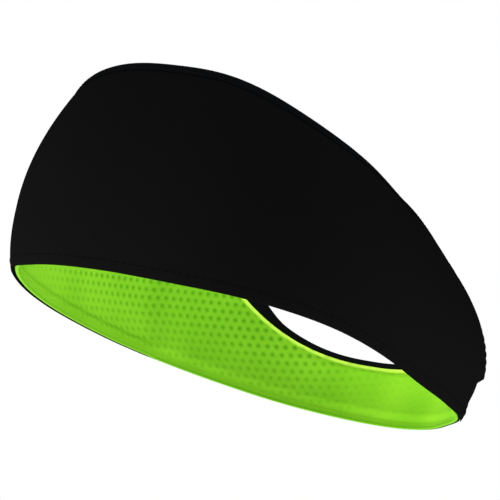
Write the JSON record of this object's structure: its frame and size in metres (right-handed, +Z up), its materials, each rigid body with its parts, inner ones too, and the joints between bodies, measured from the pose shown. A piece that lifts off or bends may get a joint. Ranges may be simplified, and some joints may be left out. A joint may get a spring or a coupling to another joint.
{
  "type": "sports headband",
  "caption": "Wide-front stretch sports headband with a black knit outer, a green eyelet-mesh lining and a narrow elastic back.",
  "frame": {"origin": "on the plane of the lower rim, under the middle of the band's box", "axes": "+Z up, -Y towards the forehead, +Y towards the nape, +X towards the wearer's left"},
  "size_m": [0.1572, 0.2026, 0.076],
  "materials": {
    "black_knit": "matte",
    "green_mesh": "matte",
    "black_tape": "matte",
    "black_thread": "satin",
    "elastic_web": "matte"
  },
  "bodies": {
    "front_section": {"outer_front_panel": "black_knit", "mesh_lining": "green_mesh", "lining_join_stitching": "black_thread", "upper_front_binding": "black_tape", "upper_front_stitching": "black_thread", "lower_front_stitching": "black_thread", "left_seam_stitching": "black_thread", "right_seam_stitching": "black_thread"},
    "back_section": {"outer_back_panel": "black_knit", "upper_back_binding": "black_tape", "back_elastic": "elastic_web", "upper_back_stitching": "black_thread", "lower_back_stitching": "black_thread"}
  },
  "joints": [
    {"name": "back_stretch", "type": "slide", "parent": "front_section", "child": "back_section", "axis": [0, 1, 0], "range_m": [0, 0.03], "stiffness_N_per_m": 170, "deforming": ["mesh_lining", "outer_back_panel", "back_elastic", "upper_back_binding", "upper_back_stitching", "lower_back_stitching"]}
  ]
}
